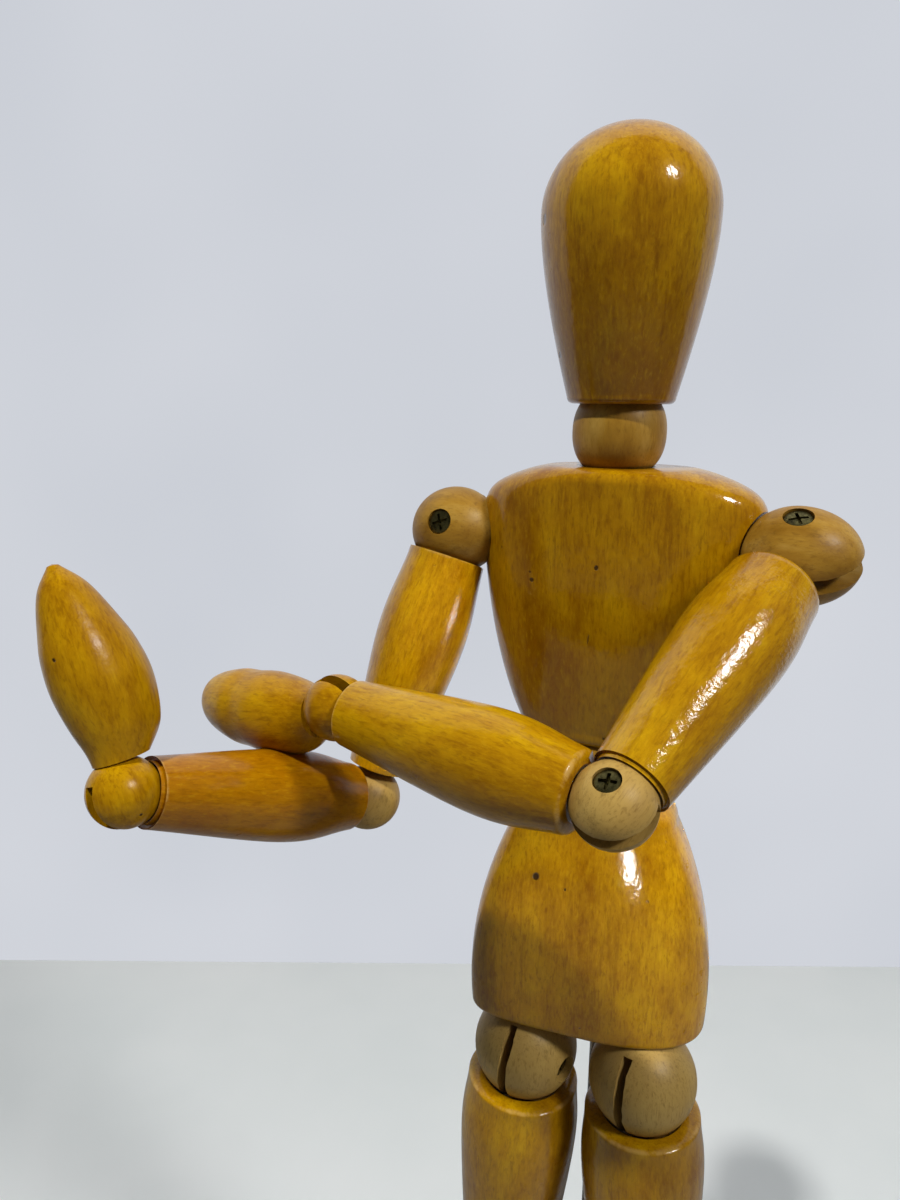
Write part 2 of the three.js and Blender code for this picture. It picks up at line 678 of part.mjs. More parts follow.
function buildLeg(pelvis, side) {
  const sign = side === "left" ? 1 : -1;
  const pose = POSE[side];
  const hipDrop = -WAIST_GAP / 2 - PELVIS_HEIGHT - HIP_BELOW_PELVIS;
  const socket = pivot(pelvis, "", "y", -sign * HIP_SPLAY, [sign * HIP_SPREAD, -HIP_FORWARD, hipDrop]);
  const hip = {
    radius: HIP_BALL_RADIUS,
    reach: HIP_BALL_RADIUS,
    swing: HIP_BALL_RADIUS + SEAT_GAP,
    headSide: -sign,
    recess: DEEP_RECESS,
    slotHalf: 2 * HIP_BALL_RADIUS,
    slotRise: LEG_JOINT.eye,
    frontRise: HIP_SLOT_RISE,
  };
  const knee = {
    radius: KNEE_BALL_RADIUS,
    reach: KNEE_BALL_RADIUS,
    swing: KNEE_BALL_RADIUS + SEAT_GAP,
    headSide: sign,
    recess: SHALLOW_RECESS,
    slotHalf: 2 * KNEE_BALL_RADIUS,
    slotRise: LEG_JOINT.eye,
  };
  const straight = { swivel: 0, hinge: 0 };
  const upper = ballJoint(socket, jointNames(side, "hip", "thigh"), LEG_JOINT, hip, pose.hip);
  const thighTop = { dish: hip.swing, radius: THIGH_TOP_RADIUS, rim: THIGH_TOP_RIM };
  const thighEnd = {
    dish: knee.swing,
    radius: THIGH_END_RADIUS,
    rim: THIGH_END_RIM,
    bore: LEG_JOINT.peg + BORE_GAP,
    depth: LEG_JOINT.depth,
  };
  const thigh = limb(THIGH_LENGTH, thighTop, thighEnd, THIGH_RADIUS, THIGH_BELLY);
  addPiece(upper, `thigh_${side}`, thigh.subtract(linkPocket(LEG_JOINT, hip.swing)), VARNISHED);

  const kneeNames = jointNames(side, "knee", "shin");
  const lower = ballJoint(upper, kneeNames, LEG_JOINT, knee, straight, [0, 0, -THIGH_LENGTH]);
  const shinTop = { dish: knee.swing, radius: SHIN_TOP_RADIUS, rim: SHIN_TOP_RIM };
  const shinEnd = {
    dish: ANKLE_BALL_RADIUS + SEAT_GAP,
    radius: SHIN_END_RADIUS,
    rim: SHIN_END_RIM,
    bore: LEG_JOINT.strip + BORE_GAP,
    depth: LEG_JOINT.depth,
  };
  const shin = limb(SHIN_LENGTH, shinTop, shinEnd, SHIN_RADIUS, SHIN_BELLY);
  addPiece(lower, `shin_${side}`, shin.subtract(linkPocket(LEG_JOINT, knee.swing)), VARNISHED);

  const ankleNames = jointNames(side, "ankle", "ankle");
  const ankleShift = [0, 0, -SHIN_LENGTH];
  const foot = endJoint(lower, ankleNames, LEG_JOINT, ANKLE_BALL_RADIUS, straight, ankleShift);
  addPiece(foot, `foot_${side}`, footSolid(), VARNISHED);
}

const figure = new THREE.Group();
buildStand(figure);
const turntable = pivot(figure, "stand_turn", "z", 0);
const pelvis = new THREE.Group();
pelvis.position.set(0, -ROD_BEHIND_WAIST, waistHeight);
turntable.add(pelvis);
addPiece(pelvis, "pelvis", pelvisSolid(), VARNISHED);
const chest = trunkJoint(pelvis, "waist", WAIST_BALL_RADIUS, WAIST_TURN);
addPiece(chest, "chest", chestSolid(), VARNISHED);
const head = trunkJoint(chest, "neck", NECK_BALL_RADIUS, 0, [0, 0, neckAboveWaist]);
addPiece(head, "head", headSolid(), VARNISHED);
for (const side of ["left", "right"]) {
  buildArm(chest, side);
  buildLeg(pelvis, side);
}

export default figure;
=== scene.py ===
"""Looks of the jointed wooden artist's figure: smooth turned pieces, varnish, raw wood and screws."""
import json
import math

import bmesh
import bpy
from mathutils import Matrix, Vector, noise


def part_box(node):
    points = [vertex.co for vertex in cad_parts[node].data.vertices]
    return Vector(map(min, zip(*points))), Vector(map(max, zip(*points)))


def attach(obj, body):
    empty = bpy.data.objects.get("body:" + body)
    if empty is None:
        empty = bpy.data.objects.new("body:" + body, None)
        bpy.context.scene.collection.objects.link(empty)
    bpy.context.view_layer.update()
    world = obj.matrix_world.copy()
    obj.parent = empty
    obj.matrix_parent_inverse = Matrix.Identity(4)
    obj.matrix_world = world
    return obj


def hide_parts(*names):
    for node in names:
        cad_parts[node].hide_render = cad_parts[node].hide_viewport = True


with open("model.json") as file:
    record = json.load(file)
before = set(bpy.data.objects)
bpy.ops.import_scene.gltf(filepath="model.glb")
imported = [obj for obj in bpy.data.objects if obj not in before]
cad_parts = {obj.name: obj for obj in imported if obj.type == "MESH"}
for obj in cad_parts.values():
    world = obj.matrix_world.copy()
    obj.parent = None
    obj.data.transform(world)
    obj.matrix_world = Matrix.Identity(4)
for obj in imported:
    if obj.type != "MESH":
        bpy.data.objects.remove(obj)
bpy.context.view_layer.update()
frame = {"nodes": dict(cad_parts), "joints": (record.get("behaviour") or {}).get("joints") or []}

MM = 0.001
SIGN = dict(left=1, right=-1)
JOINTS = {j["name"]: j for j in frame["joints"]}
UP = Vector((0, 0, 1))

# Sizes in millimetres, close to those of the solids
SEAT_GAP = 0.4
HEAD = dict(height=47, radius=15.6, rim=9.9, crown=14.6, edge=1.2, above_neck=5.1)
NECK_RADIUS = 8.6
CHEST = dict(height=53.6, half=27.1, waist=17.6, top=14, drop=10.5, edge=2.3, depth=0.435, square=2.15,
             front_edge=2.4, lean=0.7)
WAIST_RADIUS = 9
WAIST_GAP = 13.3
PELVIS = dict(height=48.6, top=16, half=24.3, bulge=1.06, edge=1.4, shoulder=3.7, depth=0.56,
              top_depth=0.72, turn=3, shift=(-0.6, 1.3), square=dict(left=2.44, right=5.4, back=2.8))
SHOULDER = dict(radius=8.7, reach=9.4, tip=dict(left=10.7, right=9), slot=dict(left=2.8, right=2.1),
                flare=1.2, sunk=dict(left=0, right=1), turn=dict(left=5, right=0))
ELBOW_RADIUS = 6.5
WRIST_RADIUS = 5.9
HIP_RADIUS = 11.1
KNEE_RADIUS = 8.8
ANKLE_RADIUS = 6.6
ELBOW_FLARE = 0.6
HIP = dict(slot=1.7, front=8.8, rough=0.22, screw_turn=12)
BASE = dict(radius=50, height=15, foot=1, edge=4)
ROD = dict(radius=1.6, chamfer=0.2, hole=1.75, base_floor=4, pelvis_depth=24.4)
# Each limb's widest radius and its place, and its two ends as (dish, radius, rim, lip)
LIMBS = {
    "upper_arm_left": dict(belly=9, at=0.42, top=(9.6, 8.1, 7.5, 2.4), end=(6.9, 6.3, 4.0, 0.6), wear=0.45),
    "upper_arm_right": dict(belly=9, at=0.42, top=(9.6, 7.9, 5.8, 1.6), end=(6.9, 6.0, 5.9, 0.7), wear=0.45),
    "forearm": dict(belly=8.5, at=0.4, top=(6.9, 6.6, 5.2, 1.1), end=(6.2, 5.9, 3.6, 0.5), wear=0.8),
    "thigh": dict(belly=12.7, at=0.32, top=(11.5, 12, 7.4, 0.9), end=(9.2, 8.5, 6.2, 0.9), wear=0.8),
    "shin": dict(belly=10, at=0.34, top=(9.2, 8.2, 6.6, 0.8), end=(7, 5.7, 5.6, 0.8), wear=0.6),
}
HAND = dict(length=37.8, radius=7.9, neck=4.6, neck_at=5.2, flat=0.95, bend=-2.5,
            tip=dict(left=(0.66, 0.92), right=(0.5, 0.8)))
# Gap left where room is cut for the motion, and the degrees that the other piece is turned for that cut
ROOM = 0.15
REACH = dict(shoulder=dict(left=5, right=8), elbow=dict(left=5, right=0))
FOOT = dict(length=40, heel=10, radius=8.6, drop=8.5, ankle=15)
ARM_SLOT, LEG_SLOT, TRUNK_SLOT = 2.1, 2.5, 2.9
# How far a slot goes past its ball's centre
SLOT_RISE = dict(trunk=3.25, shoulder=5.45, arm=2.85, leg=3.65)
# Screws as (head radius, depth under the ball's surface)
SCREWS = dict(shoulder=(2.4, 0.25), elbow=(2, 0.25), hip=(2.7, 1.5), knee=(2.5, 0.5))
# Starts of the patterns; a left and a right piece lie one to each side of theirs
SEEDS = dict(pelvis=1, chest=2, head=3, neck=4, waist=5, upper_arm=6, forearm=9, shoulder=11, elbow=14,
             hand=18, base=21, hip=23, thigh=26, wrist_slot=30, knee=31, shin=34, foot=38, ankle_slot=40)

# Pits and scratches in a piece's own frame: place, size, turn, share
PELVIS_MARKS = (((-9.7, -13, -20.2), (0.8, 8, 0.95), 15, 1), ((-3.7, -13, -21.7), (0.3, 8, 0.4), 0, 0.8))
CHEST_MARKS = (((-12.6, -10, 39.1), (0.55, 8, 0.5), 0, 0.9), ((0.2, -11, 42.8), (0.45, 8, 0.6), 20, 0.9),
               ((-13.0, -10, 40.6), (0.35, 8, 0.3), 0, 0.6), ((-1.0, -11, 29.0), (0.18, 8, 1.2), 8, 0.6))
HEAD_MARKS = (((-9.8, -6.6, 13.6), (0.5, 3, 0.7), 0, 0.9), ((-12.6, -9.4, 36.0), (0.7, 3, 1.1), 0, 0.6))


def srgb(*values):
    """Linear colour of 0 to 255 screen values."""
    linear = [v / 255 / 12.92 if v <= 10 else ((v / 255 + 0.055) / 1.055) ** 2.4 for v in values]
    return (*linear, 1.0)


# Places of the joints
def pos(joint):
    return Vector(JOINTS[joint]["pos_m"])


def axis(joint):
    return Vector(JOINTS[joint]["axis"]).normalized()


def axes(origin, z, x):
    """Matrix of a local frame with its Z along z and its X as near to x as that allows."""
    z = z.normalized()
    x = (x - z * x.dot(z)).normalized()
    y = z.cross(x)
    m = Matrix((x, y, z)).transposed().to_4x4()
    m.translation = origin
    return m


# Profiles
def bezier(points, steps):
    out = []
    for i in range(steps + 1):
        t = i / steps
        row = [Vector(p) for p in points]
        while len(row) > 1:
            row = [a.lerp(b, t) for a, b in zip(row, row[1:])]
        out.append(tuple(row[0]))
    return out


def arc(x, z, radius, start, end, steps, rise=None):
    """Points of a circle's arc, or of an ellipse's with its own rise."""
    angles = [math.radians(start + (end - start) * i / steps) for i in range(steps + 1)]
    return [(x + radius * math.cos(a), z + (rise or radius) * math.sin(a)) for a in angles]


def spline(points, steps):
    """Smooth curve through the points, steps pieces between each two."""
    p = [Vector(q) for q in points]
    p = [2 * p[0] - p[1], *p, 2 * p[-1] - p[-2]]
    out = []
    for a, b, c, d in zip(p, p[1:], p[2:], p[3:]):
        for i in range(steps):
            t = i / steps
            out.append(tuple(0.5 * (2 * b + (c - a) * t + (2 * a - 5 * b + 4 * c - d) * t * t
                                    + (3 * b - a - 3 * c + d) * t ** 3)))
    return [*out, tuple(points[-1])]


# Meshes
def new_object(name, verts, faces, matrix):
    mesh = bpy.data.meshes.new(name)
    mesh.from_pydata([Vector(v) * MM for v in verts], [], faces)
    mesh.update()
    obj = bpy.data.objects.new(name, mesh)
    bpy.context.scene.collection.objects.link(obj)
    obj.matrix_world = matrix
    bm = bmesh.new()
    bm.from_mesh(mesh)
    bmesh.ops.remove_doubles(bm, verts=bm.verts, dist=1e-7)
    bmesh.ops.recalc_face_normals(bm, faces=bm.faces)
    bm.to_mesh(mesh)
    bm.free()
    return obj


def revolve(name, profile, matrix, sides=96, shape=None):
    """Closed turned piece from (radius, height) points that start and end on the axis."""
    verts, faces = [], []
    for r, z in profile:
        for k in range(sides):
            a = 2 * math.pi * k / sides
            v = (r * math.cos(a), r * math.sin(a), z)
            verts.append(shape(*v) if shape else v)
    for i in range(len(profile) - 1):
        for k in range(sides):
            n = (k + 1) % sides
            faces.append((i * sides + k, i * sides + n, (i + 1) * sides + n, (i + 1) * sides + k))
    return new_object(name, verts, faces, matrix)


def ball(name, radius, reach, matrix, sides=72, tip=None, full=2.0):
    """Ovoid along Z; tip is its reach below, when that differs, and full above 2 makes it a barrel."""
    tip = tip or reach
    power = 2 / full
    profile = [(radius * abs(x) ** power, (reach if z > 0 else tip) * math.copysign(abs(z) ** power, z))
               for x, z in arc(0, 0, 1, -90, 90, 40)]
    return revolve(name, profile, matrix, sides)


def block_shape(depth, square):
    power = 2 / square

    def shape(x, y, z):
        r = math.hypot(x, y)
        if r < 1e-9:
            return (0, 0, z)
        sx = math.copysign(abs(x / r) ** power, x)
        sy = math.copysign(abs(y / r) ** power, y)
        return (r * sx, r * depth * sy, z)

    return shape


def ragged_box(name, size, centre, matrix, rough=0.0, seed=0.0, steps=24, front=None, flare=0.0):
    """Box whose sides across X waver a little, as a saw cut's do, and whose top may step up in front."""
    w, d, h = size
    bm = bmesh.new()
    bmesh.ops.create_cube(bm, size=1)
    bmesh.ops.subdivide_edges(bm, edges=bm.edges, cuts=steps if rough else 1, use_grid_fill=True)
    verts = []
    for v in bm.verts:
        x, y, z = v.co.x * w, v.co.y * d, v.co.z * h
        if rough:
            wave = noise.noise(Vector((seed + math.copysign(3, x), y * 0.35, z * 0.35)))
            fine = noise.noise(Vector((seed + math.copysign(9, x), y * 1.6, z * 1.6)))
            x *= 1 + rough * (0.5 + wave + fine) / (w / 2)
        x *= 1 + flare * max(0, -z) / h
        if front and y < front[0] and z > 0:
            z *= 1 + 2 * front[1] / h
        verts.append((x + centre[0], y + centre[1], z + centre[2]))
    faces = [[v.index for v in f.verts] for f in bm.faces]
    bm.free()
    return new_object(name, verts, faces, matrix)


def combine(obj, operation, other):
    """Joins the other to obj, or takes it out of it, for good."""
    mod = obj.modifiers.new("combine", "BOOLEAN")
    mod.operation = operation
    mod.solver = "EXACT"
    mod.object = other
    bpy.context.view_layer.update()
    done = bpy.data.meshes.new_from_object(obj.evaluated_get(bpy.context.evaluated_depsgraph_get()))
    obj.modifiers.clear()
    old, obj.data = obj.data, done
    spent = other.data
    bpy.data.objects.remove(other)
    for mesh in (old, spent):
        bpy.data.meshes.remove(mesh)


def cut(obj, *cutters):
    for cutter in cutters:
        combine(obj, "DIFFERENCE", cutter)


def dress(obj, material, body, slot, *nodes, sharp=32, worn=None):
    """Smooth shading, the material, and the body that the piece rides on; worn gives each point's wear."""
    mesh = obj.data
    if worn:
        wear = mesh.attributes.new("wear", "FLOAT", "POINT")
        wear.data.foreach_set("value", [worn(*(v.co / MM)) for v in mesh.vertices])
    mesh.materials.clear()
    mesh.materials.append(material)
    mesh.polygons.foreach_set("use_smooth", [True] * len(mesh.polygons))
    mesh.polygons.foreach_set("material_index", [0] * len(mesh.polygons))
    mesh.set_sharp_from_angle(angle=math.radians(sharp))
    mesh.update()
    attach(obj, body)
    if nodes:
        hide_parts(*nodes)
    return obj


# Materials
class Nodes:
    """A material's node tree, built by short calls."""

    def __init__(self, name):
        self.material = bpy.data.materials.new(name)
        self.material.use_nodes = True
        self.tree = self.material.node_tree
        self.shader = self.tree.nodes["Principled BSDF"]
        self.coords = self.tree.nodes.new("ShaderNodeTexCoord").outputs["Object"]

    def link(self, source, socket):
        self.tree.links.new(source, socket)

    def scaled(self, scale, shift=(0, 0, 0), turn=(0, 0, 0)):
        node = self.tree.nodes.new("ShaderNodeMapping")
        node.inputs["Scale"].default_value = scale
        node.inputs["Location"].default_value = shift
        node.inputs["Rotation"].default_value = turn
        self.link(self.coords, node.inputs["Vector"])
        return node.outputs["Vector"]

    def noise(self, vector, scale=1.0, detail=4.0, rough=0.55, warp=0.0):
        node = self.tree.nodes.new("ShaderNodeTexNoise")
        node.inputs["Scale"].default_value = scale
        node.inputs["Detail"].default_value = detail
        node.inputs["Roughness"].default_value = rough
        node.inputs["Distortion"].default_value = warp
        self.link(vector, node.inputs["Vector"])
        return node.outputs["Fac"]

    def voronoi(self, vector, scale=1.0, random=1.0):
        node = self.tree.nodes.new("ShaderNodeTexVoronoi")
        node.inputs["Scale"].default_value = scale
        node.inputs["Randomness"].default_value = random
        self.link(vector, node.inputs["Vector"])
        return node.outputs

    def attribute(self, name):
        node = self.tree.nodes.new("ShaderNodeAttribute")
        node.attribute_name = name
        return node.outputs["Fac"]

    def spot(self, place, size, turn=0.0):
        """One in a small oval at a place of the surface, nothing outside it; lengths in mm."""
        node = self.tree.nodes.new("ShaderNodeMapping")
        node.vector_type = "TEXTURE"
        node.inputs["Location"].default_value = [v * MM for v in place]
        node.inputs["Scale"].default_value = [v * MM for v in size]
        node.inputs["Rotation"].default_value = (0, math.radians(turn), 0)
        self.link(self.coords, node.inputs["Vector"])
        far = self.tree.nodes.new("ShaderNodeVectorMath")
        far.operation = "LENGTH"
        self.link(node.outputs["Vector"], far.inputs[0])
        return self.span(far.outputs["Value"], 1.0, 0.55)

    def span(self, value, low, high, to_low=0.0, to_high=1.0):
        node = self.tree.nodes.new("ShaderNodeMapRange")
        node.interpolation_type = "SMOOTHSTEP"
        for key, number in zip(("From Min", "From Max", "To Min", "To Max"), (low, high, to_low, to_high)):
            node.inputs[key].default_value = number
        self.link(value, node.inputs["Value"])
        return node.outputs["Result"]

    def math(self, kind, a, b):
        node = self.tree.nodes.new("ShaderNodeMath")
        node.operation = kind
        for socket, value in zip(node.inputs, (a, b)):
            if isinstance(value, (int, float)):
                socket.default_value = value
            else:
                self.link(value, socket)
        return node.outputs[0]

    def ramp(self, value, stops):
        node = self.tree.nodes.new("ShaderNodeValToRGB")
        ramp = node.color_ramp
        while len(ramp.elements) < len(stops):
            ramp.elements.new(0.5)
        for element, (place, colour) in zip(ramp.elements, stops):
            element.position = place
            element.color = colour
        self.link(value, node.inputs["Fac"])
        return node.outputs["Color"]

    def mix(self, share, a, b, kind="MIX"):
        node = self.tree.nodes.new("ShaderNodeMix")
        node.data_type = "RGBA"
        node.blend_type = kind
        sockets = [s for s in node.inputs if s.type == "RGBA"]
        for socket, value in ((node.inputs["Factor"], share), (sockets[0], a), (sockets[1], b)):
            if isinstance(value, (int, float, tuple)):
                socket.default_value = value
            else:
                self.link(value, socket)
        return [s for s in node.outputs if s.type == "RGBA"][0]

    def bump(self, height, strength, distance, under=None):
        node = self.tree.nodes.new("ShaderNodeBump")
        node.inputs["Strength"].default_value = strength
        node.inputs["Distance"].default_value = distance * MM
        self.link(height, node.inputs["Height"])
        if under:
            self.link(under, node.inputs["Normal"])
        return node.outputs["Normal"]


def per_mm(across, along=None):
    """Texture scale that makes one unit the given number of millimetres, longer along Z."""
    along = along or across
    return (1 / (across * MM), 1 / (across * MM), 1 / (along * MM))


def varnished(name, seed, dirt=0.25, streak=0.4, warm=0.0, painted_low_shade=None, marks=(), peel=0.035,
              specks=1.0, coat=(0.8, 0.1)):
    """Amber varnish over turned wood with its grain along Z.

    painted_low_shade is (from height, to height, share) of a lower end darkened as painted shade, marks are
    (place, size, turn, share) of pits and scratches, peel is the depth of the skin's bumps in mm, and coat is
    the gloss's (weight, roughness).
    """
    n = Nodes(name)
    shift = (seed * 7.3, seed * 3.1, seed * 5.7)
    broad = n.noise(n.scaled(per_mm(14, 50), shift), detail=3, warp=0.6)
    mottle = n.noise(n.scaled(per_mm(3.6, 7), shift), detail=6, rough=0.7)
    fibre = n.noise(n.scaled(per_mm(0.4, 5), shift), detail=4, rough=0.6)
    flecks = n.noise(n.scaled(per_mm(0.6, 2.2), shift), detail=4, rough=0.62, warp=0.4)
    streaks = n.noise(n.scaled(per_mm(2.4, 26), shift), detail=5, rough=0.65, warp=0.4)
    colour = n.ramp(n.math("ADD", n.math("MULTIPLY", broad, 0.55), n.math("MULTIPLY", mottle, 0.45)), [
        (0.34, srgb(148, 96, 1)),
        (0.50, srgb(180, 129, 2)),
        (0.66, srgb(203, 156, 6)),
    ])
    if warm:
        colour = n.mix(warm, colour, srgb(170, 96, 1))
    # Painted shade: the lower end of the piece is darkened unevenly, following the mottle, as if lit from
    # above
    if painted_low_shade:
        low, high, share = painted_low_shade
        height = n.tree.nodes.new("ShaderNodeSeparateXYZ")
        n.link(n.coords, height.inputs[0])
        low_shade_share = n.span(height.outputs["Z"], high * MM, low * MM, 0, share)
        low_shade_share = n.math("MULTIPLY", low_shade_share, n.span(mottle, 0.3, 0.6, 0.5, 1.2))
        colour = n.mix(low_shade_share, colour, srgb(112, 66, 1))
    colour = n.mix(n.span(streaks, 0.52, 0.72, 0, streak), colour, srgb(120, 70, 1))
    colour = n.mix(n.span(flecks, 0.5, 0.68, 0, 0.42), colour, srgb(122, 74, 1))
    colour = n.mix(n.span(flecks, 0.47, 0.3, 0, 0.25), colour, srgb(214, 166, 22))
    colour = n.mix(n.span(fibre, 0.5, 0.7, 0, 0.25), colour, srgb(118, 70, 2))
    grime = n.noise(n.scaled(per_mm(9, 15), (shift[2], shift[0], shift[1])), detail=8, rough=0.75)
    colour = n.mix(n.span(grime, 0.56, 0.76, 0, dirt), colour, srgb(84, 48, 3))
    dots = n.voronoi(n.scaled(per_mm(7.5), shift))
    pits = n.math("MULTIPLY", n.span(dots["Distance"], 0.055, 0.025), n.span(grime, 0.5, 0.56, 0, specks))
    for place, size, turn, share in marks:
        pits = n.math("MAXIMUM", pits, n.math("MULTIPLY", n.spot(place, size, turn), share))
    colour = n.mix(n.math("MULTIPLY", pits, 0.92), colour, srgb(40, 25, 8))
    chips = n.math("MULTIPLY", n.attribute("wear"), n.span(grime, 0.35, 0.6, 0.5, 1.3))
    colour = n.mix(n.span(chips, 0.3, 0.75, 0, 0.7), colour, srgb(216, 176, 100))
    n.link(colour, n.shader.inputs["Base Color"])
    rough = n.noise(n.scaled(per_mm(3.5), shift), detail=6, rough=0.7)
    n.link(n.span(rough, 0.3, 0.75, 0.26, 0.44), n.shader.inputs["Roughness"])
    n.shader.inputs["Specular IOR Level"].default_value = 0.1
    n.shader.inputs["Specular Tint"].default_value = srgb(240, 190, 90)
    n.shader.inputs["Coat Weight"].default_value = coat[0]
    n.shader.inputs["Coat Roughness"].default_value = coat[1]
    n.shader.inputs["Coat IOR"].default_value = 1.5
    skin = n.noise(n.scaled(per_mm(0.8, 0.9), shift), detail=3, rough=0.6)
    waves = n.noise(n.scaled(per_mm(3.2, 4), shift), detail=2)
    normal = n.bump(waves, 0.8, 0.11)
    normal = n.bump(skin, 0.9, peel, normal)
    normal = n.bump(flecks, 0.5, 0.015, normal)
    normal = n.bump(n.math("MULTIPLY", pits, -1.0), 0.8, 0.25, normal)
    n.link(normal, n.shader.inputs["Normal"])
    n.link(normal, n.shader.inputs["Coat Normal"])
    return n.material


def raw(name, seed, dirt=0.4, light=0.0):
    """Unvarnished, handled wood."""
    n = Nodes(name)
    shift = (seed * 4.1, seed * 9.7, seed * 2.3)
    broad = n.noise(n.scaled(per_mm(6, 16), shift), detail=5, rough=0.6)
    fibre = n.noise(n.scaled(per_mm(0.35, 4), shift), detail=5, rough=0.65)
    flecks = n.noise(n.scaled(per_mm(0.7, 1.8), shift), detail=4, rough=0.6, warp=0.5)
    colour = n.ramp(broad, [
        (0.30, srgb(136, 94, 22)),
        (0.52, srgb(164, 122, 40)),
        (0.72, srgb(186, 148, 68)),
    ])
    if light:
        colour = n.mix(light, colour, srgb(206, 176, 106))
    colour = n.mix(n.span(fibre, 0.5, 0.72, 0, 0.4), colour, srgb(112, 74, 20))
    colour = n.mix(n.span(flecks, 0.54, 0.7, 0, 0.35), colour, srgb(104, 68, 18))
    grime = n.noise(n.scaled(per_mm(4, 6), shift), detail=8, rough=0.75)
    colour = n.mix(n.span(grime, 0.54, 0.72, 0, dirt), colour, srgb(78, 52, 16))
    dots = n.voronoi(n.scaled(per_mm(3.2, 4.5), shift))
    pits = n.math("MULTIPLY", n.span(dots["Distance"], 0.09, 0.03), n.span(grime, 0.5, 0.58))
    colour = n.mix(n.math("MULTIPLY", pits, 0.7), colour, srgb(58, 38, 18))
    n.link(colour, n.shader.inputs["Base Color"])
    n.link(n.span(grime, 0.3, 0.75, 0.5, 0.34), n.shader.inputs["Roughness"])
    n.shader.inputs["Specular IOR Level"].default_value = 0.3
    normal = n.bump(fibre, 0.4, 0.05)
    normal = n.bump(n.noise(n.scaled(per_mm(1.4, 2.5), shift), detail=5, rough=0.7), 0.35, 0.1, normal)
    n.link(normal, n.shader.inputs["Normal"])
    return n.material


def metal(name, bright, dark, roughness, seed):
    n = Nodes(name)
    shift = (seed, seed * 2.7, seed * 0.7)
    blotch = n.noise(n.scaled(per_mm(0.9), shift), detail=7, rough=0.7)
    colour = n.ramp(blotch, [(0.32, dark), (0.62, bright)])
    n.link(colour, n.shader.inputs["Base Color"])
    n.shader.inputs["Metallic"].default_value = 1.0
    n.link(n.span(blotch, 0.3, 0.7, roughness + 0.2, roughness), n.shader.inputs["Roughness"])
    scratch = n.noise(n.scaled(per_mm(0.12, 2.0), shift), detail=3)
    n.link(n.bump(scratch, 0.25, 0.02), n.shader.inputs["Normal"])
    return n.material


STEEL = metal("steel", srgb(168, 168, 164), srgb(104, 102, 98), 0.36, 2.0)
BRASS = metal("screw_brass", srgb(152, 141, 86), srgb(54, 51, 32), 0.34, 5.0)


# Stand
def build_stand():
    radius, top, foot, edge = (BASE[key] for key in ("radius", "height", "foot", "edge"))
    base = [(0, 0), *arc(radius - foot, foot, foot, -90, 0, 6),
            *arc(radius - edge, top - edge, edge, 0, 90, 14), (0.6 * radius, top), (0.24 * radius, top),
            (ROD["hole"], top), (ROD["hole"], ROD["base_floor"]), (0, ROD["base_floor"])]
    dress(revolve("stand_base", base, Matrix(), 160), varnished("varnish_base", SEEDS["base"], 0.15), "stand",
          "base_varnished_wood", "base")
    low, high = (corner.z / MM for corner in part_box("rod"))
    full, chamfer = ROD["radius"], ROD["chamfer"]
    rod = [(0, low), (full - chamfer, low), (full, low + chamfer),
           (full, high - chamfer), (full - chamfer, high), (0, high)]
    dress(revolve("stand_rod", rod, Matrix(), 48), STEEL, "stand", "steel", "rod")


